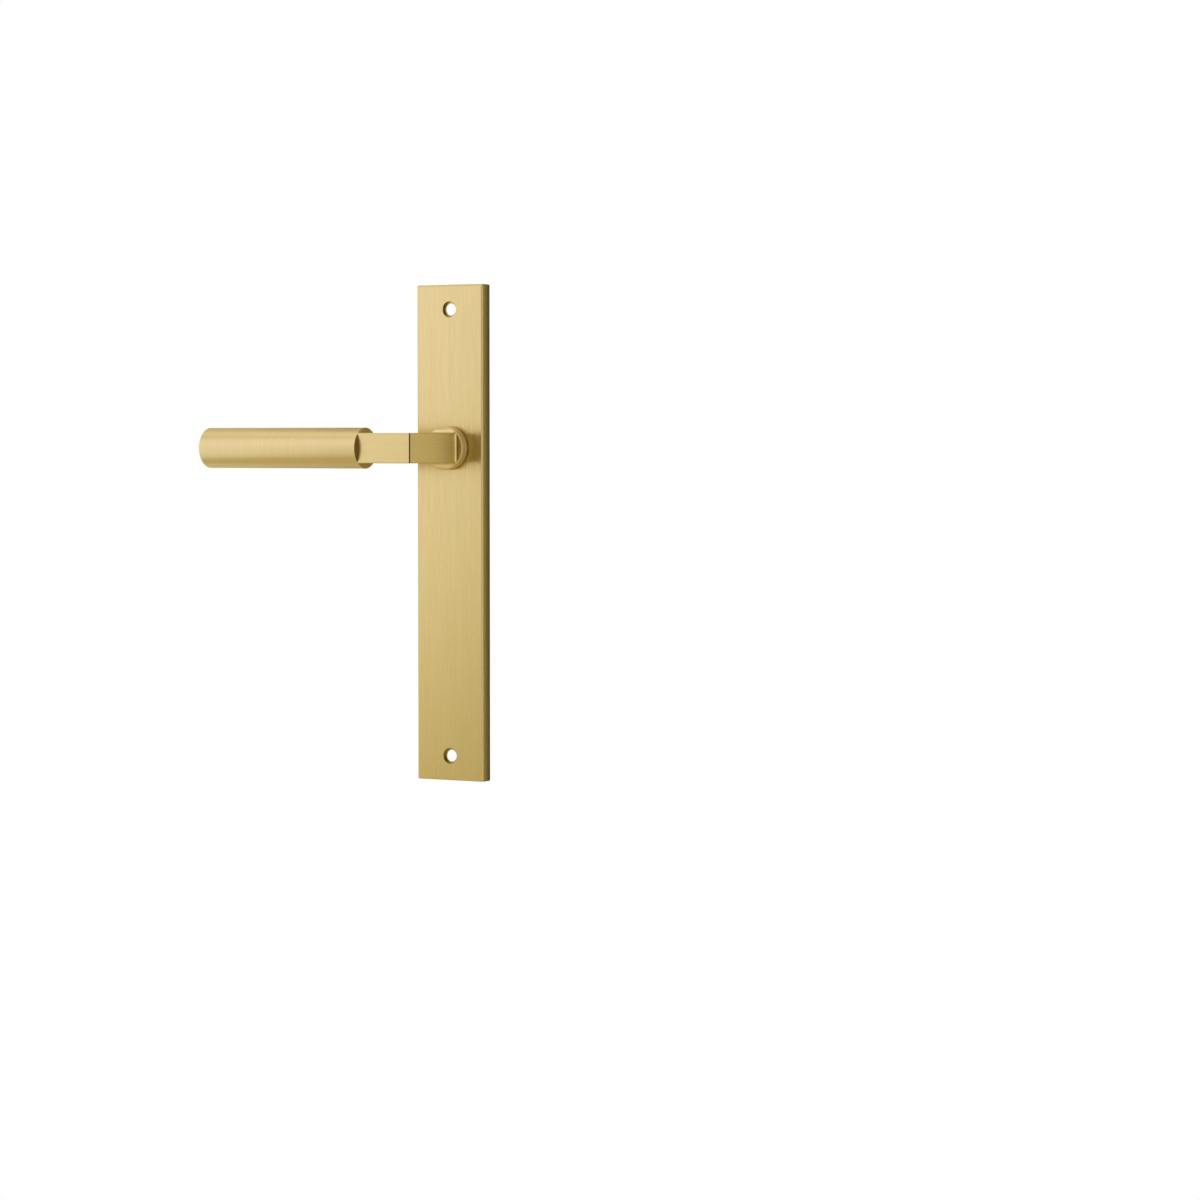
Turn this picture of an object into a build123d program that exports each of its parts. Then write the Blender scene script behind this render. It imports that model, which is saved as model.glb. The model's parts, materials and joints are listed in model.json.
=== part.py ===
"""Door lever on a long backplate: hollow brass plate, sprung lever with a mitred neck, half spindle.

Millimetres. Origin on the lever's turning axis, in the plane of the door face behind the plate.
+X points right, +Z up and +Y into the door, so the plate's front faces -Y and the lever points to -X.
"""
import os
from math import cos, radians, sin, sqrt

from build123d import *

# Backplate
plate_height = 240.0
plate_width = 37.4
plate_thickness = 6.8
plate_front_wall = 2.2
plate_side_wall = 2.2
plate_chamfer = 0.7
plate_corner_radius = 0.8
axis_below_top = 78.8
screw_from_plate_end = 11.9
screw_hole_diameter = 5.8
screw_counterbore_diameter = 7.7
screw_counterbore_depth = 1.5
rib_thickness = 1.6
upper_rib_count = 1
lower_rib_count = 3

# Bearing of the lever in the plate
journal_diameter = 14.0
bush_wall = 1.2
bush_flange_thickness = 0.4
bush_flange_inset = 0.5
collar_wall = 1.8

# Spring pocket in the back of the plate
pocket_front_wall = 1.5
pocket_side_wall = 2.5
spring_wire_size = 1.3
spring_leg_angle = 270.0
stop_ear_angle = 65.0
stop_ear_width = 6.0
stop_lug_width = 3.0
lever_travel = 50.0

# Drive plate, washer and ring on the rear end of the shank
drive_plate_thickness = 1.0
tab_width = 2.5
tab_depth = 2.0
key_diameter = 13.0
key_flats = 11.0
curved_washer_thickness = 0.4
curved_washer_rise = 0.4
curved_washer_width = 2.4
ring_thickness = 1.0
ring_width = 2.0
ring_groove_depth = 0.4
ring_gap = 4.0
ring_lug_diameter = 3.2
ring_lug_hole_diameter = 1.5
shank_end_wall = 1.0

# Lever
boss_diameter = 21.2
boss_front_above_plate = 5.2
boss_chamfer = 0.6
neck_thickness = 14.0
neck_height = 14.4
grip_diameter = 19.6
post_fillet = 1.6
arm_front_from_door = 52.6
grip_start_from_axis = 22.7
grip_length = 91.5
grip_end_chamfer = 0.4
seam_width = 0.6
seam_depth = 0.9
dowel_diameter = 5.0
dowel_length = 12.0

# Spindle and its set screw
spindle_size = 7.6
spindle_corner = 0.4
spindle_engagement = 22.0
spindle_reach_behind_plate = 22.0
grub_diameter = 5.0
grub_socket_flats = 2.5
grub_socket_depth = 1.6
grub_recess = 0.25
grub_from_boss = 5.5

# Clearances
running_clearance = 0.05
press_clearance = 0.02
end_play = 0.1
spring_clearance = 0.6
stop_clearance = 0.15
tab_clearance = 0.1
ear_clearance = 0.7
spindle_clearance = 0.05

# Planes across the lever axis, from the back of the plate forwards
plate_front = -plate_thickness
cavity_floor = plate_front + plate_front_wall
pocket_floor = plate_front + pocket_front_wall
flange_front = plate_front - bush_flange_thickness
boss_back = flange_front - end_play
boss_front = plate_front - boss_front_above_plate
arm_centre = -arm_front_from_door + neck_thickness / 2
drive_back = -end_play
drive_front = drive_back - drive_plate_thickness
collar_back = drive_front - 2 * end_play
washer_back = drive_back + curved_washer_thickness + curved_washer_rise
ring_front = washer_back + press_clearance
ring_back = ring_front + ring_thickness
groove_back = ring_back + end_play
shank_back = groove_back + shank_end_wall

# Radii about the lever axis
journal_radius = journal_diameter / 2
bush_bore_radius = journal_radius + running_clearance
bush_radius = bush_bore_radius + bush_wall
collar_bore_radius = bush_radius + press_clearance
collar_radius = collar_bore_radius + collar_wall
coil_radius = collar_radius + spring_clearance + spring_wire_size / 2
coil_outer_radius = coil_radius + spring_wire_size / 2
pocket_radius = plate_width / 2 - pocket_side_wall
ear_reach = pocket_radius - ear_clearance
drive_disc_radius = coil_outer_radius + spring_clearance / 2
boss_radius = boss_diameter / 2
grip_radius = grip_diameter / 2

# Heights
plate_top = axis_below_top
plate_bottom = plate_top - plate_height
plate_middle = (plate_top + plate_bottom) / 2


def section(y):
    """Plane across the lever axis at y, with X to the right and Z up."""
    return Plane.XZ.offset(-y)


def prism(outline, front, back):
    """Extrude an X-Z outline between two planes across the lever axis."""
    return extrude(section(back) * outline, back - front)


def disc(radius, front, back):
    return prism(Circle(radius), front, back)


def block(inner, outer, low, high):
    """Rectangle from inner to outer along a radius, and from low to high across it."""
    return Pos((inner + outer) / 2, (low + high) / 2) * Rectangle(outer - inner, high - low)


def turned(outline, angle):
    """Turn an outline about the lever axis, from +X towards +Z."""
    return Rot(0, 0, angle) * outline


def keyed(diameter, flats):
    """Round outline with two flats, facing up and down."""
    return Circle(diameter / 2) & Rectangle(diameter, flats)


def neck_outline():
    """Upright rectangle with its corners left round by the bar it is milled from."""
    return Circle(grip_radius) & Rectangle(neck_thickness, neck_height)


def mitre_plane():
    """Plane of the mitre, facing the door, with its local X towards the outer corner."""
    return Plane(origin=(0, arm_centre, 0), x_dir=(1, -1, 0), z_dir=(1, 1, 0))


def door_side_of_mitre():
    """Block that holds all of the post, with one face on the mitre plane."""
    length = 2 * arm_front_from_door
    return extrude(mitre_plane() * Rectangle(length, length), length)


def on_mitre(outline, depth_each_side):
    """Extrude an outline drawn on the mitre plane to both sides of it."""
    return extrude(mitre_plane() * outline, depth_each_side, both=True)


def seam_groove():
    """Narrow groove along the outer edge of the mitre."""
    outer_corner = neck_thickness / 2 * sqrt(2)
    strip = block(outer_corner - seam_depth, outer_corner + seam_depth, -grip_radius, grip_radius)
    return on_mitre(strip, seam_width / 2)


def dowel_hole():
    return on_mitre(Circle(dowel_diameter / 2 + press_clearance), dowel_length / 2 + end_play)


def screw_heights():
    return plate_top - screw_from_plate_end, plate_bottom + screw_from_plate_end


def hollow(low, high):
    """Hollow of the plate's back between two heights."""
    width = plate_width - 2 * plate_side_wall
    return prism(Pos(0, (low + high) / 2) * Rectangle(width, high - low), cavity_floor, 0)


def rib_heights(start, end, count):
    step = (end - start) / (count + 1)
    return [start + step * number for number in range(1, count + 1)]


def stop_lugs():
    """Two lugs that catch the drive plate's ear at the ends of the lever's travel."""
    near = stop_ear_width / 2 + stop_clearance
    far = near + stop_lug_width
    inner = drive_disc_radius + spring_clearance
    outer = pocket_radius + pocket_side_wall / 2
    rest = turned(block(inner, outer, -far, -near), stop_ear_angle)
    pressed = turned(block(inner, outer, near, far), stop_ear_angle + lever_travel)
    return prism(rest, pocket_floor, drive_back) + prism(pressed, pocket_floor, drive_back)


def tab_span():
    """Inner and outer edge of the spring tab, measured square to the spring's leg."""
    inner = coil_outer_radius + tab_clearance
    return inner, inner + drive_plate_thickness


def tab_end():
    """Furthest point of the tab along the spring's leg that still clears the pocket wall."""
    return sqrt(ear_reach**2 - tab_span()[1] ** 2)


def anchor_lug():
    """Lug that holds the fixed leg of the spring."""
    inner = tab_span()[0]
    outer = pocket_radius + pocket_side_wall / 2
    outline = turned(block(inner, outer, -tab_end(), tab_width - tab_end()), spring_leg_angle)
    return prism(outline & Circle(outer), pocket_floor, collar_back)


def backplate():
    outline = Pos(0, plate_middle) * RectangleRounded(plate_width, plate_height, plate_corner_radius)
    plate = prism(outline, plate_front, 0)
    plate = chamfer(plate.faces().sort_by(Axis.Y)[0].edges(), plate_chamfer)
    housing_radius = pocket_radius + plate_side_wall
    inside_top = plate_top - plate_side_wall
    inside_bottom = plate_bottom + plate_side_wall
    inside = hollow(inside_bottom, inside_top)
    plate -= inside
    plate += disc(housing_radius, cavity_floor, 0) & inside
    ribs = rib_heights(housing_radius, inside_top, upper_rib_count)
    ribs += rib_heights(-housing_radius, inside_bottom, lower_rib_count)
    for height in ribs:
        plate += hollow(height - rib_thickness / 2, height + rib_thickness / 2)
    plate -= disc(pocket_radius, pocket_floor, 0)
    plate += disc(collar_radius, pocket_floor, collar_back)
    plate += stop_lugs() + anchor_lug()
    plate -= disc(collar_bore_radius, plate_front, collar_back)
    for height in screw_heights():
        plate -= screw_hole(height)
    return plate


def screw_hole(height):
    """Through hole with a counterbore in the front for the screw's head."""
    hole = disc(screw_hole_diameter / 2, plate_front, 0)
    counterbore = disc(screw_counterbore_diameter / 2, plate_front, plate_front + screw_counterbore_depth)
    return Pos(0, 0, height) * (hole + counterbore)


def neck_bush():
    """Flanged bearing bush between the plate and the lever's shank."""
    bush = disc(bush_radius, plate_front, collar_back)
    bush += disc(boss_radius - bush_flange_inset, flange_front, plate_front)
    return bush - disc(bush_bore_radius, flange_front, collar_back)


def return_spring():
    """One close turn of square wire round the collar, with a straight leg at each end."""
    pitch = spring_wire_size + running_clearance
    middle = (pocket_floor + drive_front) / 2
    angle = radians(spring_leg_angle)
    outwards = (cos(angle), 0, sin(angle))
    seat = Plane(origin=(0, middle - pitch / 2, 0), x_dir=outwards, z_dir=(0, 1, 0))
    coil = seat * Helix(pitch, pitch, coil_radius, lefthand=True)
    start = Plane(origin=coil @ 0, x_dir=outwards, z_dir=coil % 0)
    end = Plane(origin=coil @ 1, x_dir=outwards, z_dir=coil % 1)
    wire_outline = Rectangle(spring_wire_size, spring_wire_size)
    spring = sweep(start * wire_outline, coil, is_frenet=True)
    fixed_leg = extrude(start * wire_outline, -tab_end())
    moving_leg = extrude(end * wire_outline, tab_end())
    return spring + fixed_leg + moving_leg


def base_flare():
    """Hollow rounding where the flats of the post meet the boss, ending at the boss's rim."""
    width = neck_thickness + 2 * post_fillet
    height = neck_height + 2 * post_fillet
    flare = prism(Rectangle(width, height), boss_front - post_fillet, boss_front)
    groove = Cylinder(post_fillet, 2 * height)
    for quarter, reach in enumerate((width, height, width, height)):
        flare -= Rot(0, 90 * quarter, 0) * Pos(reach / 2, boss_front - post_fillet, 0) * groove
    return flare & disc(boss_radius - boss_chamfer, boss_front - post_fillet, boss_front)


def spindle_socket():
    size = spindle_size + 2 * spindle_clearance
    return prism(Rectangle(size, size), boss_front - spindle_engagement, shank_back)


def grub_plane():
    """Plane on the spindle's lower face at the set screw, facing down."""
    middle = (0, boss_front - grub_from_boss, -spindle_size / 2)
    return Plane(origin=middle, x_dir=(1, 0, 0), z_dir=(0, 0, -1))


def lever_post():
    """Boss, flat-sided post and bearing shank turned and milled from one bar, mitred at the outer end."""
    boss = disc(boss_radius, boss_front, boss_back)
    boss = chamfer(boss.edges().sort_by(Axis.Y)[0], boss_chamfer)
    post = prism(neck_outline(), -arm_front_from_door, boss_front) & door_side_of_mitre()
    shank = disc(journal_radius, boss_back, drive_front)
    key = prism(keyed(key_diameter, key_flats), drive_front, shank_back)
    groove_radius = key_diameter / 2 - ring_groove_depth
    key -= disc(key_diameter, ring_front, groove_back) - disc(groove_radius, ring_front, groove_back)
    lever = boss + post + base_flare() + shank + key
    lever -= spindle_socket()
    lever -= extrude(grub_plane() * Circle(grub_diameter / 2 + press_clearance), neck_height)
    return lever - seam_groove() - dowel_hole()


def lever_grip():
    """Round grip with a flat-sided arm milled at its inner end, mitred to meet the post."""
    along = Plane(origin=(0, arm_centre, 0), x_dir=(0, 1, 0), z_dir=(-1, 0, 0))
    grip = extrude(along.offset(grip_start_from_axis) * Circle(grip_radius), grip_length)
    grip = chamfer(grip.edges().sort_by(Axis.X)[0], grip_end_chamfer)
    arm_length = grip_start_from_axis + neck_thickness / 2
    arm = extrude(along.offset(-neck_thickness / 2) * neck_outline(), arm_length)
    arm -= door_side_of_mitre()
    return grip + arm - seam_groove() - dowel_hole()


def corner_dowel():
    return on_mitre(Circle(dowel_diameter / 2), dowel_length / 2)


def drive_plate():
    """Stamped plate keyed to the shank: a stop ear, and a folded tab that pushes the spring's leg."""
    tab_inner, tab_outer = tab_span()
    tab_low = tab_end() - tab_width
    ear = turned(block(0, ear_reach, -stop_ear_width / 2, stop_ear_width / 2), stop_ear_angle)
    arm = turned(block(0, tab_outer, tab_low, tab_end()), spring_leg_angle)
    tab = turned(block(tab_inner, tab_outer, tab_low, tab_end()), spring_leg_angle)
    key = keyed(key_diameter + 2 * running_clearance, key_flats + 2 * running_clearance)
    outline = Circle(drive_disc_radius) + ear + arm
    plate = prism(outline - key, drive_front, drive_back)
    return plate + prism(tab, drive_front - tab_depth, drive_front)


def curved_washer():
    """Ring bent to a shallow arch between the drive plate and the retaining ring."""
    inner = key_diameter / 2 + running_clearance
    outer = inner + curved_washer_width
    bend_radius = (outer**2 + curved_washer_rise**2) / (2 * curved_washer_rise)
    ring = prism(Circle(outer) - Circle(inner), drive_back, washer_back)
    axis_y = washer_back - curved_washer_thickness - bend_radius
    lying = Pos(0, axis_y, 0) * Rot(0, 90, 0)
    shell = Cylinder(bend_radius + curved_washer_thickness, 2 * outer) - Cylinder(bend_radius, 2 * outer)
    return ring & lying * shell


def retaining_ring():
    """External circlip with plier lugs, open at the top."""
    inner = key_diameter / 2 - ring_groove_depth + press_clearance
    outer = inner + ring_width
    lug_radius = ring_lug_diameter / 2
    lug_side = ring_gap / 2 + lug_radius
    lug_height = sqrt((outer + lug_radius / 2) ** 2 - lug_side**2)
    outline = Circle(outer) - Pos(0, outer) * Rectangle(ring_gap, 2 * outer)
    for side in (-lug_side, lug_side):
        outline += Pos(side, lug_height) * Circle(lug_radius)
    outline -= Circle(inner)
    for side in (-lug_side, lug_side):
        outline -= Pos(side, lug_height) * Circle(ring_lug_hole_diameter / 2)
    return prism(outline, ring_front, ring_back)


def spindle():
    """Half of a split square spindle, with its edges broken."""
    outline = Rectangle(spindle_size, spindle_size)
    front = boss_front - spindle_engagement + end_play
    bar = prism(outline, front, spindle_reach_behind_plate)
    return chamfer(bar.edges().filter_by(Axis.Y), spindle_corner)


def spindle_grub_screw():
    """Set screw with a hexagon socket, tightened on the spindle from below."""
    length = neck_height / 2 - spindle_size / 2 - grub_recess
    seat = grub_plane()
    screw = extrude(seat * Circle(grub_diameter / 2), length)
    socket = RegularPolygon(grub_socket_flats / 2, 6, major_radius=False)
    return screw - extrude(seat.offset(length - grub_socket_depth) * socket, grub_socket_depth)


PIECES = (
    backplate,
    neck_bush,
    return_spring,
    lever_post,
    lever_grip,
    corner_dowel,
    drive_plate,
    curved_washer,
    retaining_ring,
    spindle,
    spindle_grub_screw,
)

os.makedirs("parts", exist_ok=True)
for piece in PIECES:
    export_step(piece(), f"parts/{piece.__name__}.step")
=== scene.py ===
"""Looks, light and camera for a satin brass door lever on a backplate. Metres, in the part's own frame."""
import json
import math

import bmesh
import bpy
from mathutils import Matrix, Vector


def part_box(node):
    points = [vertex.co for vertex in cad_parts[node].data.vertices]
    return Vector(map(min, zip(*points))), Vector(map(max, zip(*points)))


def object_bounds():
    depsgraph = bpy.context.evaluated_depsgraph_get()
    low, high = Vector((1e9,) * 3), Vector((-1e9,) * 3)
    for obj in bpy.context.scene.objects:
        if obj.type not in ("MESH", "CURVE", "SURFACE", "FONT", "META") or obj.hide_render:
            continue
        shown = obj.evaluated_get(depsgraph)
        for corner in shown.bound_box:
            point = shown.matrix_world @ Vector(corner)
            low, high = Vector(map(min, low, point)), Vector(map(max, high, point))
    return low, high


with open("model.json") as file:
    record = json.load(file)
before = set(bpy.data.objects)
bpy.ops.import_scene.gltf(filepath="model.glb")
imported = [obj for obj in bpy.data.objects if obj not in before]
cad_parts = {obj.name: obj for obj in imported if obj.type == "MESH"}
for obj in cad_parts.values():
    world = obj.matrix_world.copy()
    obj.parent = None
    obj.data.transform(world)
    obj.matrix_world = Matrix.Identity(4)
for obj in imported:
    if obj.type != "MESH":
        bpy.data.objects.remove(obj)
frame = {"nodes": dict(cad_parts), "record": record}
cad_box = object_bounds()
MM = 0.001

# Camera: where it stands as seen from the lever's axis, and where that axis lands in the picture
PICTURE_SIZE = 1200
CAMERA_AZIMUTH = math.radians(32.46)
CAMERA_ELEVATION = math.radians(0.1)
CAMERA_DISTANCE = 1.8
SENSOR = 36.0
LENS = 111.1
AXIS_PIXEL = (457.0, 448.0)

# Floor, world and lamp
FLOOR_DROP = 0.34
FLOOR_RADIUS = 8.0
FLOOR_SEGMENTS = 96
FLOOR_FADE = (0.30, 0.66)
FLOOR_COLOUR = (0.80, 0.79, 0.77)
AMBIENT = 0.75
LAMP_POWER = 3.0
LAMP_SIZE = 1.2
LAMP_PLACE = Vector((-1.1, -1.3, 1.3))

# Reflector cards round the part: each stop is a place on the card and the light that it gives there
CARD_RADIUS = 0.32
CARD_TOP = 0.6
CARD_BOTTOM = -0.2
CARD_STEPS = 32

# Left card, by height on a slant and by plain height
LEFT_SPAN = (-88, -12)
LEFT_STRENGTH = 1.2
LEFT_SLANT = 2.2
LEFT_MIDDLE = -0.178
LEFT_STOPS = (
    (-0.200, (0.510, 0.445, 0.320)),
    (-0.135, (0.770, 0.718, 0.575)),
    (-0.070, (0.815, 0.790, 0.672)),
    (-0.040, (0.882, 0.880, 0.870)),
    (0.050, (0.893, 0.880, 0.965)),
    (0.170, (0.935, 0.930, 1.000)),
    (0.260, (0.910, 0.880, 0.965)),
    (0.460, (0.660, 0.630, 0.620)),
    (0.600, (0.860, 0.820, 0.760)),
)
LEFT_FOOT_STOPS = (
    (-0.200, (0.88, 0.88, 0.74)),
    (-0.070, (1.00, 1.00, 1.00)),
)

# Front card, by azimuth in degrees
FRONT_STOPS = (
    (-12, (0.85, 0.82, 0.72)),
    (0, (0.30, 0.26, 0.18)),
    (8, (0.08, 0.06, 0.015)),
    (46, (0.08, 0.06, 0.015)),
    (57, (0.85, 0.78, 0.54)),
    (78, (0.95, 0.92, 0.85)),
    (92, (0.95, 0.92, 0.85)),
)

# Low card and, by distance from the plate's outline, the door board behind the plate
LOW_COLOUR = (0.60, 0.53, 0.34)
LOW_SEGMENTS = 64
BOARD_SIZE = 2.4
BOARD_BEHIND = 0.1 * MM
BOARD_LAP = 0.25 * MM
BOARD_STOPS = (
    (0.000, (0.05, 0.042, 0.030)),
    (0.0045, (0.19, 0.16, 0.035)),
    (0.007, (0.78, 0.72, 0.50)),
    (0.015, (0.78, 0.72, 0.50)),
    (0.030, (0.53, 0.47, 0.33)),
    (0.100, (0.66, 0.605, 0.455)),
    (0.200, (0.84, 0.80, 0.62)),
    (0.350, (0.95, 0.95, 0.90)),
)

# Brass: tones and finish of each piece
BRASS = (0.815, 0.660, 0.325)
BRASS_DEEP = (0.785, 0.628, 0.300)
# Colour of the painted shade in the mitre groove and on the screw hole walls
BRASS_SHADE = (0.37, 0.25, 0.045)
BRASS_BUMP = 0.10
SOFT_EDGE = 0.08 * MM
ROUGHNESS_SPREAD = 0.04
PLATE_ROUGHNESS = 0.29
PLATE_ANISOTROPY = 0.76
POST_ROUGHNESS = 0.52
POST_BASE_ROUGHNESS = 0.30
POST_ANISOTROPY = 0.3
BOSS_ROUGHNESS = 0.60
GRIP_ROUGHNESS = 0.34
GRIP_ANISOTROPY = 0.5
GRIP_TONE = 0.92
GRIP_END_FACING = 0.9

# Brush marks: sizes of the fine and the coarse noise along X, Y and Z in millimetres
PLATE_MARKS = ((0.22, 0.22, 16), (0.8, 0.8, 45))
POST_MARKS = ((0.25, 14, 0.25), (0.9, 40, 0.9))
GRIP_MARKS = ((0.25, 14, 14), (1.0, 30, 30))
ARM_MARKS = ((14, 0.25, 0.25), (40, 0.9, 0.9))

# Where the brass changes: along X at the shoulder, along Y on the post, and out from seam and holes
SHOULDER = -22.7 * MM
BOSS_SIDE_START = -11.4 * MM
BOSS_FRONT = -11.95 * MM
POST_BASE = (-14.5 * MM, -12.5 * MM)
# Edge of the dark joint line and painted shade in the mitre groove
SEAM_EDGE = (0.279 * MM, 0.341 * MM)
# Edge and strength of the painted shade on the walls of the screw holes
HOLE_EDGE = (3.85 * MM, 3.89 * MM)
HOLE_SHADE = 0.6

# Steel by slot: light tone, dark tone, roughness and grain sizes along X, Y and Z in millimetres
STEELS = {
    "spring_steel": ((0.42, 0.42, 0.43), (0.30, 0.30, 0.31), 0.34, (0.3, 0.3, 0.3)),
    "zinc_steel": ((0.66, 0.68, 0.70), (0.55, 0.57, 0.60), 0.32, (0.5, 6, 0.5)),
    "bright_steel": ((0.62, 0.62, 0.63), (0.52, 0.52, 0.53), 0.25, (0.3, 0.3, 4)),
    "black_steel": ((0.075, 0.075, 0.078), (0.045, 0.045, 0.047), 0.4, (0.3, 0.3, 0.3)),
}
STEEL_SPREAD = 0.06
STEEL_BUMP = 0.15

# Nylon
NYLON_DARK = (0.022, 0.021, 0.020)
NYLON_LIGHT = (0.036, 0.034, 0.032)
NYLON_ROUGHNESS = (0.5, 0.62)
NYLON_GRAIN = (0.4, 0.4, 0.4)
NYLON_BUMP = 0.1

# Noise in every material, and the range of it that is used
NOISE_DETAIL = 3.0
NOISE_ROUGHNESS = 0.55
FINE_RANGE = (0.25, 0.75)
COARSE_RANGE = (0.3, 0.7)
NYLON_RANGE = (0.2, 0.8)
BUMP_DEPTH = 0.02 * MM

# Places of the two inputs and the output of a mix node
MIX_SOCKETS = {"FLOAT": (2, 3, 0), "VECTOR": (4, 5, 1), "RGBA": (6, 7, 2)}


def node(tree, kind, **values):
    made = tree.nodes.new(kind)
    for name, value in values.items():
        setattr(made, name, value)
    return made


def feed(tree, target, source):
    """Give an input either a constant or the output of another node."""
    if isinstance(source, bpy.types.NodeSocket):
        tree.links.new(source, target)
    else:
        target.default_value = source


def math_node(tree, operation, *sources):
    made = node(tree, "ShaderNodeMath", operation=operation)
    for place, source in enumerate(sources):
        feed(tree, made.inputs[place], source)
    return made.outputs[0]


def vector_node(tree, operation, *sources):
    made = node(tree, "ShaderNodeVectorMath", operation=operation)
    for place, source in enumerate(sources):
        feed(tree, made.inputs[place], source)
    return made.outputs["Value" if operation in ("LENGTH", "DOT_PRODUCT") else "Vector"]


def map_range(tree, value, low, high, low_out=0.0, high_out=1.0, shape="SMOOTHSTEP"):
    made = node(tree, "ShaderNodeMapRange", interpolation_type=shape)
    for place, source in enumerate((value, low, high, low_out, high_out)):
        feed(tree, made.inputs[place], source)
    return made.outputs[0]


def mixed(tree, kind, factor, first, second):
    """First where the factor is 0, second where it is 1; kind is FLOAT, VECTOR or RGBA."""
    low, high, out = MIX_SOCKETS[kind]
    made = node(tree, "ShaderNodeMix", data_type=kind)
    feed(tree, made.inputs[0], factor)
    feed(tree, made.inputs[low], first)
    feed(tree, made.inputs[high], second)
    return made.outputs[out]


def blend(tree, factor, first, second):
    """Mix of two colours, each a tuple or the output of another node."""
    first, second = ((*colour, 1) if isinstance(colour, tuple) else colour for colour in (first, second))
    return mixed(tree, "RGBA", factor, first, second)


def colour_stops(tree, value, stops):
    """Colour by a value, straight between stops of value and colour."""
    first = stops[0][0]
    last = stops[-1][0]
    made = node(tree, "ShaderNodeValToRGB")
    feed(tree, made.inputs[0], map_range(tree, value, first, last, shape="LINEAR"))
    elements = made.color_ramp.elements
    while len(elements) < len(stops):
        elements.new(1.0)
    for element, (place, colour) in zip(elements, stops):
        element.position = (place - first) / (last - first)
        element.color = (*colour, 1)
    return made.outputs["Color"]


def new_material(name):
    material = bpy.data.materials.new(name)
    material.use_nodes = True
    material.node_tree.nodes.clear()
    return material, material.node_tree


def finish_material(tree, shader):
    output = node(tree, "ShaderNodeOutputMaterial")
    tree.links.new(shader, output.inputs["Surface"])


def place_of(tree):
    """Position in the part's frame, in metres, fixed to the piece."""
    return node(tree, "ShaderNodeTexCoord").outputs["Object"]


def axis_of(tree, vector, axis):
    made = node(tree, "ShaderNodeSeparateXYZ")
    feed(tree, made.inputs[0], vector)
    return made.outputs[axis]


def streaks(tree, place, widths):
    """Noise drawn out along the brushing: widths are its sizes along X, Y and Z in millimetres."""
    scaled = vector_node(tree, "MULTIPLY", place, [1 / (width * MM) for width in widths])
    noise = node(tree, "ShaderNodeTexNoise", normalize=True)
    tree.links.new(scaled, noise.inputs["Vector"])
    noise.inputs["Scale"].default_value = 1.0
    noise.inputs["Detail"].default_value = NOISE_DETAIL
    noise.inputs["Roughness"].default_value = NOISE_ROUGHNESS
    return noise.outputs["Fac"]


def brush_marks(tree, place, sizes):
    """Fine and coarse noise of one brushing."""
    return [streaks(tree, place, widths) for widths in sizes]


def add_bump(tree, shader, height, strength, normal=None):
    """Roughen the surface by a noise, on top of another normal where one is given."""
    bump = node(tree, "ShaderNodeBump")
    bump.inputs["Strength"].default_value = strength
    bump.inputs["Distance"].default_value = BUMP_DEPTH
    tree.links.new(height, bump.inputs["Height"])
    if normal is not None:
        tree.links.new(normal, bump.inputs["Normal"])
    tree.links.new(bump.outputs[0], shader.inputs["Normal"])


def round_tangent(tree, axis):
    """Direction round an axis through the middle of the piece."""
    return node(tree, "ShaderNodeTangent", direction_type="RADIAL", axis=axis).outputs["Tangent"]


def fixed_tangent(tree, direction):
    """Direction fixed to the piece."""
    turn = node(tree, "ShaderNodeVectorTransform", vector_type="VECTOR")
    turn.convert_from = "OBJECT"
    turn.convert_to = "WORLD"
    feed(tree, turn.inputs[0], direction)
    return turn.outputs[0]


def grip_axis():
    """Place of the grip's axis along Y."""
    low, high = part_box("lever_grip")
    return (low.y + high.y) / 2


def seam_shade(tree, place):
    """One in the groove along the mitre between the arm and the post: a dark joint line, with painted
    shade in the groove.
    """
    along = vector_node(tree, "DOT_PRODUCT", place, (math.sqrt(0.5), math.sqrt(0.5), 0))
    seam = grip_axis() * math.sqrt(0.5)
    offset = math_node(tree, "ABSOLUTE", math_node(tree, "SUBTRACT", along, seam))
    return map_range(tree, offset, *SEAM_EDGE, 1.0, 0.0)


def hole_shade(tree, place):
    """Painted shade on the walls of the two screw holes."""
    mounts = {mount["name"]: mount for mount in frame["record"]["mounts"]}
    screws = mounts["fixing_screws"]
    middle = screws["pos_m"][2]
    reach = screws["dims"]["spacing_y_mm"] * MM / 2
    from_middle = vector_node(tree, "SUBTRACT", place, (0, 0, middle))
    from_hole = vector_node(tree, "SUBTRACT", vector_node(tree, "ABSOLUTE", from_middle), (0, 0, reach))
    radius = vector_node(tree, "LENGTH", vector_node(tree, "MULTIPLY", from_hole, (1, 0, 1)))
    return map_range(tree, radius, *HOLE_EDGE, HOLE_SHADE, 0.0)


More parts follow.
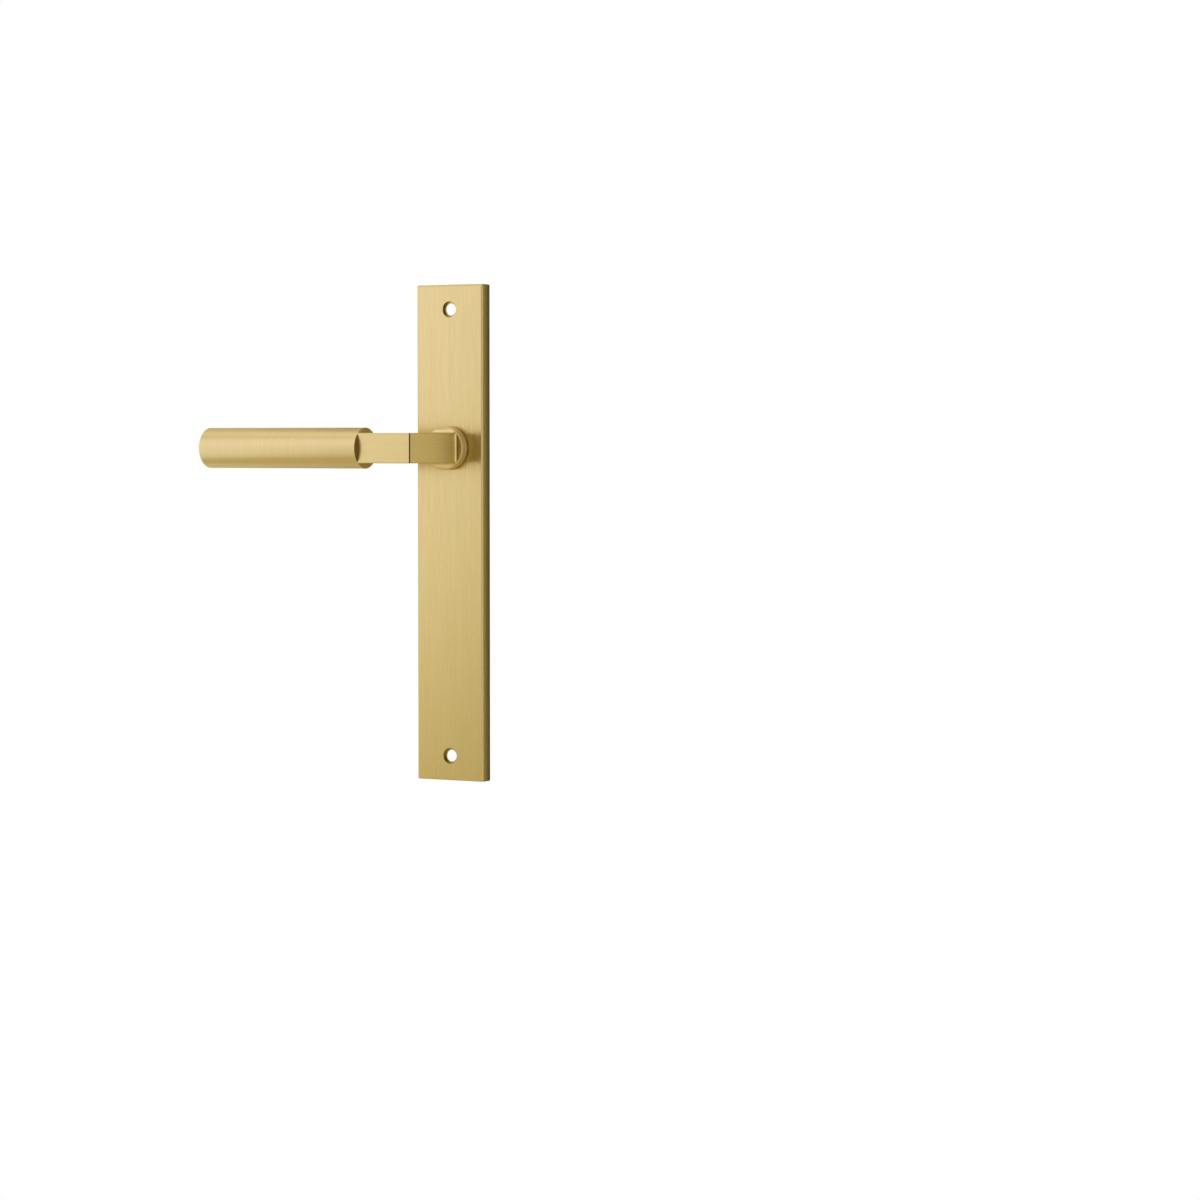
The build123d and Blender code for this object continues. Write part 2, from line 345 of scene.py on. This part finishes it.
def brass(name, brushing, anisotropy, shade, tone=1.0):
    """Satin brass, darker where shade is above 0.

    Brushing gives the fine and the coarse noise, the direction across the marks and the roughness.
    """
    material, tree = new_material(name)
    place = place_of(tree)
    fine, coarse, across, roughness = brushing(tree, place)
    shader = node(tree, "ShaderNodeBsdfPrincipled")
    shader.inputs["Metallic"].default_value = 1.0
    shader.inputs["Anisotropic"].default_value = anisotropy
    deep, light = (tuple(part * tone for part in colour) for colour in (BRASS_DEEP, BRASS))
    colour = blend(tree, map_range(tree, coarse, *COARSE_RANGE), deep, light)
    # Painted shade: blend towards BRASS_SHADE where the shade mask is above 0
    colour = blend(tree, shade(tree, place), colour, BRASS_SHADE)
    feed(tree, shader.inputs["Base Color"], colour)
    spread = map_range(tree, fine, *FINE_RANGE, -ROUGHNESS_SPREAD, ROUGHNESS_SPREAD)
    feed(tree, shader.inputs["Roughness"], math_node(tree, "ADD", spread, roughness))
    soft_edge = node(tree, "ShaderNodeBevel", samples=4)
    soft_edge.inputs["Radius"].default_value = SOFT_EDGE
    add_bump(tree, shader, fine, BRASS_BUMP, soft_edge.outputs[0])
    tree.links.new(across, shader.inputs["Tangent"])
    finish_material(tree, shader.outputs[0])
    return material


def plate_brass():
    """Brushed from end to end."""
    def brushing(tree, place):
        fine, coarse = brush_marks(tree, place, PLATE_MARKS)
        return fine, coarse, round_tangent(tree, "Z"), PLATE_ROUGHNESS

    return brass("plate_brass", brushing, PLATE_ANISOTROPY, hole_shade)


def post_brass():
    """Brushed along the post, smoother round its base and turned on the boss's side."""
    def brushing(tree, place):
        depth = axis_of(tree, place, "Y")
        on_boss_side = math_node(tree, "GREATER_THAN", depth, BOSS_SIDE_START)
        on_boss = math_node(tree, "GREATER_THAN", depth, BOSS_FRONT)
        fine, coarse = brush_marks(tree, place, POST_MARKS)
        across_post = round_tangent(tree, "Y")
        across_boss_side = fixed_tangent(tree, (0, 1, 0))
        across = mixed(tree, "VECTOR", on_boss_side, across_post, across_boss_side)
        along_post = map_range(tree, depth, *POST_BASE, POST_ROUGHNESS, POST_BASE_ROUGHNESS)
        roughness = mixed(tree, "FLOAT", on_boss, along_post, BOSS_ROUGHNESS)
        return fine, coarse, across, roughness

    return brass("post_brass", brushing, POST_ANISOTROPY, seam_shade)


def grip_brass():
    """Round grip with its side and ends turned, and flat-sided arm brushed along it."""
    def brushing(tree, place):
        on_arm = math_node(tree, "GREATER_THAN", axis_of(tree, place, "X"), SHOULDER)
        facing = axis_of(tree, node(tree, "ShaderNodeTexCoord").outputs["Normal"], "X")
        on_end = math_node(tree, "GREATER_THAN", math_node(tree, "ABSOLUTE", facing), GRIP_END_FACING)
        offset = vector_node(tree, "SUBTRACT", place, (0, grip_axis(), 0))
        outwards = fixed_tangent(tree, vector_node(tree, "MULTIPLY", offset, (0, 1, 1)))
        grip_fine, grip_coarse = brush_marks(tree, place, GRIP_MARKS)
        arm_fine, arm_coarse = brush_marks(tree, place, ARM_MARKS)
        fine = mixed(tree, "FLOAT", on_arm, grip_fine, arm_fine)
        coarse = mixed(tree, "FLOAT", on_arm, grip_coarse, arm_coarse)
        across_grip = fixed_tangent(tree, (1, 0, 0))
        across_sides = mixed(tree, "VECTOR", on_arm, across_grip, round_tangent(tree, "X"))
        across = mixed(tree, "VECTOR", on_end, across_sides, outwards)
        return fine, coarse, across, GRIP_ROUGHNESS

    return brass("grip_brass", brushing, GRIP_ANISOTROPY, seam_shade, GRIP_TONE)


def steel(name, light, dark, roughness, grain):
    """Steel with a drawn grain; grain gives the noise sizes along X, Y and Z in millimetres."""
    material, tree = new_material(name)
    shader = node(tree, "ShaderNodeBsdfPrincipled")
    shader.inputs["Metallic"].default_value = 1.0
    value = streaks(tree, place_of(tree), grain)
    feed(tree, shader.inputs["Base Color"], blend(tree, map_range(tree, value, *FINE_RANGE), dark, light))
    spread = map_range(tree, value, *FINE_RANGE, roughness - STEEL_SPREAD, roughness + STEEL_SPREAD)
    feed(tree, shader.inputs["Roughness"], spread)
    add_bump(tree, shader, value, STEEL_BUMP)
    finish_material(tree, shader.outputs[0])
    return material


def nylon():
    material, tree = new_material("bush_nylon")
    shader = node(tree, "ShaderNodeBsdfPrincipled")
    value = streaks(tree, place_of(tree), NYLON_GRAIN)
    feed(tree, shader.inputs["Base Color"], blend(tree, value, NYLON_DARK, NYLON_LIGHT))
    feed(tree, shader.inputs["Roughness"], map_range(tree, value, *NYLON_RANGE, *NYLON_ROUGHNESS))
    add_bump(tree, shader, value, NYLON_BUMP)
    finish_material(tree, shader.outputs[0])
    return material


def dress():
    """Give every node of the part the material of its slot."""
    made = {
        "plate_brass": plate_brass(),
        "post_brass": post_brass(),
        "grip_brass": grip_brass(),
        "bush_nylon": nylon(),
    }
    for name, values in STEELS.items():
        made[name] = steel(name, *values)
    for part in frame["record"]["subparts"]:
        piece = frame["nodes"][part["node"]]
        piece.data.materials.clear()
        piece.data.materials.append(made[part["material_slot"]])


def mesh_object(name, build, material):
    work = bmesh.new()
    build(work)
    mesh = bpy.data.meshes.new(name)
    work.to_mesh(mesh)
    work.free()
    mesh.materials.append(material)
    made = bpy.data.objects.new(name, mesh)
    bpy.context.scene.collection.objects.link(made)
    return made


def seen_directly(tree):
    """One for camera, glossy and transmission rays, which see the background."""
    path = node(tree, "ShaderNodeLightPath")
    either = math_node(tree, "MAXIMUM", path.outputs["Is Camera Ray"], path.outputs["Is Glossy Ray"])
    return math_node(tree, "MAXIMUM", either, path.outputs["Is Transmission Ray"])


def white_world():
    world = bpy.data.worlds.new("white_world")
    bpy.context.scene.world = world
    world.use_nodes = True
    tree = world.node_tree
    tree.nodes.clear()
    background = node(tree, "ShaderNodeBackground")
    background.inputs["Color"].default_value = (1, 1, 1, 1)
    feed(tree, background.inputs["Strength"], map_range(tree, seen_directly(tree), 0, 1, AMBIENT, 1.0))
    output = node(tree, "ShaderNodeOutputWorld")
    tree.links.new(background.outputs[0], output.inputs["Surface"])


def floor_material():
    """Pale floor near the part, fading into the white background further off."""
    material, tree = new_material("floor_pale")
    diffuse = node(tree, "ShaderNodeBsdfDiffuse")
    diffuse.inputs["Color"].default_value = (*FLOOR_COLOUR, 1)
    white = node(tree, "ShaderNodeEmission")
    white.inputs["Strength"].default_value = 1.0
    far = map_range(tree, vector_node(tree, "LENGTH", place_of(tree)), *FLOOR_FADE)
    mix = node(tree, "ShaderNodeMixShader")
    feed(tree, mix.inputs[0], math_node(tree, "MULTIPLY", far, seen_directly(tree)))
    tree.links.new(diffuse.outputs[0], mix.inputs[1])
    tree.links.new(white.outputs[0], mix.inputs[2])
    finish_material(tree, mix.outputs[0])
    return material


def add_floor():
    def build(work):
        bmesh.ops.create_circle(work, cap_ends=True, radius=FLOOR_RADIUS, segments=FLOOR_SEGMENTS)

    floor = mesh_object("floor", build, floor_material())
    floor.location.z = cad_box[0].z - FLOOR_DROP


def glow(material, tree, colour, strength=1.0):
    light = node(tree, "ShaderNodeEmission")
    feed(tree, light.inputs["Color"], colour)
    light.inputs["Strength"].default_value = strength
    finish_material(tree, light.outputs[0])
    return material


def reflector(name, build, material):
    """Card that only the metal's reflections show."""
    card = mesh_object(name, build, material)
    card.visible_camera = False
    card.visible_shadow = False
    card.visible_diffuse = False


def curved_card(name, span, material):
    """Upright card on part of a cylinder round the part."""
    start, end = (math.radians(angle) for angle in span)

    def build(work):
        columns = []
        for step in range(CARD_STEPS + 1):
            angle = start + (end - start) * step / CARD_STEPS
            x = CARD_RADIUS * math.sin(angle)
            y = -CARD_RADIUS * math.cos(angle)
            columns.append([work.verts.new((x, y, z)) for z in (CARD_BOTTOM, CARD_TOP)])
        for left, right in zip(columns, columns[1:]):
            work.faces.new((left[0], right[0], right[1], left[1]))

    reflector(name, build, material)


def left_material():
    """Bright card, dimmer and warmer towards its foot, with its shades on a slant."""
    material, tree = new_material("left_card")
    place = place_of(tree)
    height = axis_of(tree, place, "Z")
    aside = math_node(tree, "SUBTRACT", axis_of(tree, place, "X"), LEFT_MIDDLE)
    slanted = math_node(tree, "SUBTRACT", height, math_node(tree, "MULTIPLY", aside, LEFT_SLANT))
    shades = colour_stops(tree, slanted, LEFT_STOPS)
    foot = colour_stops(tree, height, LEFT_FOOT_STOPS)
    return glow(material, tree, vector_node(tree, "MULTIPLY", shades, foot), LEFT_STRENGTH)


def front_material():
    """Dark in front of the camera and bright on the right, by azimuth in degrees."""
    material, tree = new_material("front_card")
    place = place_of(tree)
    forward = math_node(tree, "MULTIPLY", axis_of(tree, place, "Y"), -1.0)
    angle = math_node(tree, "ARCTAN2", axis_of(tree, place, "X"), forward)
    return glow(material, tree, colour_stops(tree, math_node(tree, "DEGREES", angle), FRONT_STOPS))


def low_material():
    material, tree = new_material("low_card")
    return glow(material, tree, (*LOW_COLOUR, 1))


def board_material(low, high):
    """Beige door face, in shade close to the plate."""
    material, tree = new_material("board_card")
    place = place_of(tree)
    sides = []
    for axis, name in ((0, "X"), (2, "Z")):
        middle = (low[axis] + high[axis]) / 2
        half = (high[axis] - low[axis]) / 2
        offset = math_node(tree, "SUBTRACT", axis_of(tree, place, name), middle)
        sides.append(math_node(tree, "SUBTRACT", math_node(tree, "ABSOLUTE", offset), half))
    distance = math_node(tree, "MAXIMUM", *sides)
    return glow(material, tree, colour_stops(tree, distance, BOARD_STOPS))


def add_board():
    """Door face just behind the plate's rim, open behind the rest of the plate."""
    low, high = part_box("backplate")
    half = BOARD_SIZE / 2
    y = high.y + BOARD_BEHIND

    def corners(work, x0, z0, x1, z1):
        return [work.verts.new((x, y, z)) for x, z in ((x0, z0), (x1, z0), (x1, z1), (x0, z1))]

    def build(work):
        outer = corners(work, -half, -half, half, half)
        inner = corners(work, low.x + BOARD_LAP, low.z + BOARD_LAP, high.x - BOARD_LAP, high.z - BOARD_LAP)
        for first in range(4):
            second = (first + 1) % 4
            work.faces.new((outer[first], outer[second], inner[second], inner[first]))

    reflector("door_board", build, board_material(low, high))


def add_cards():
    def build_low(work):
        bmesh.ops.create_circle(work, cap_ends=True, radius=CARD_RADIUS, segments=LOW_SEGMENTS)
        bmesh.ops.translate(work, verts=work.verts, vec=(0, 0, CARD_BOTTOM))

    curved_card("left_card", LEFT_SPAN, left_material())
    curved_card("front_card", (FRONT_STOPS[0][0], FRONT_STOPS[-1][0]), front_material())
    reflector("low_card", build_low, low_material())
    add_board()


def add_lamp():
    light = bpy.data.lights.new("key_softbox", "AREA")
    light.shape = "SQUARE"
    light.size = LAMP_SIZE
    light.energy = LAMP_POWER
    lamp = bpy.data.objects.new("key_softbox", light)
    bpy.context.scene.collection.objects.link(lamp)
    lamp.location = LAMP_PLACE
    lamp.rotation_euler = (-LAMP_PLACE).to_track_quat("-Z", "Y").to_euler()
    lamp.visible_camera = False


def add_camera():
    """Stand the camera off the lever's axis, then turn it until that axis lands on its pixel."""
    horizontal = math.cos(CAMERA_ELEVATION)
    stand = CAMERA_DISTANCE * Vector((
        math.sin(CAMERA_AZIMUTH) * horizontal,
        -math.cos(CAMERA_AZIMUTH) * horizontal,
        math.sin(CAMERA_ELEVATION),
    ))
    focal = LENS / SENSOR * PICTURE_SIZE
    right = (AXIS_PIXEL[0] - PICTURE_SIZE / 2) / focal
    up = (PICTURE_SIZE / 2 - AXIS_PIXEL[1]) / focal
    to_axis = -stand.normalized()
    length = math.sqrt(1 + right * right + up * up)
    pitch = math.asin(to_axis.z * length / math.sqrt(1 + up * up)) - math.atan(up)
    forward = math.cos(pitch) - up * math.sin(pitch)
    yaw = math.atan2(to_axis.x, to_axis.y) - math.atan2(right, forward)
    data = bpy.data.cameras.new("camera")
    data.sensor_width = SENSOR
    data.lens = LENS
    camera = bpy.data.objects.new("camera", data)
    camera.location = stand
    camera.rotation_euler = (math.pi / 2 + pitch, 0, -yaw)
    bpy.context.scene.collection.objects.link(camera)
    bpy.context.scene.camera = camera


bpy.context.scene.view_settings.view_transform = "Standard"
dress()
white_world()
add_floor()
add_cards()
add_lamp()
add_camera()
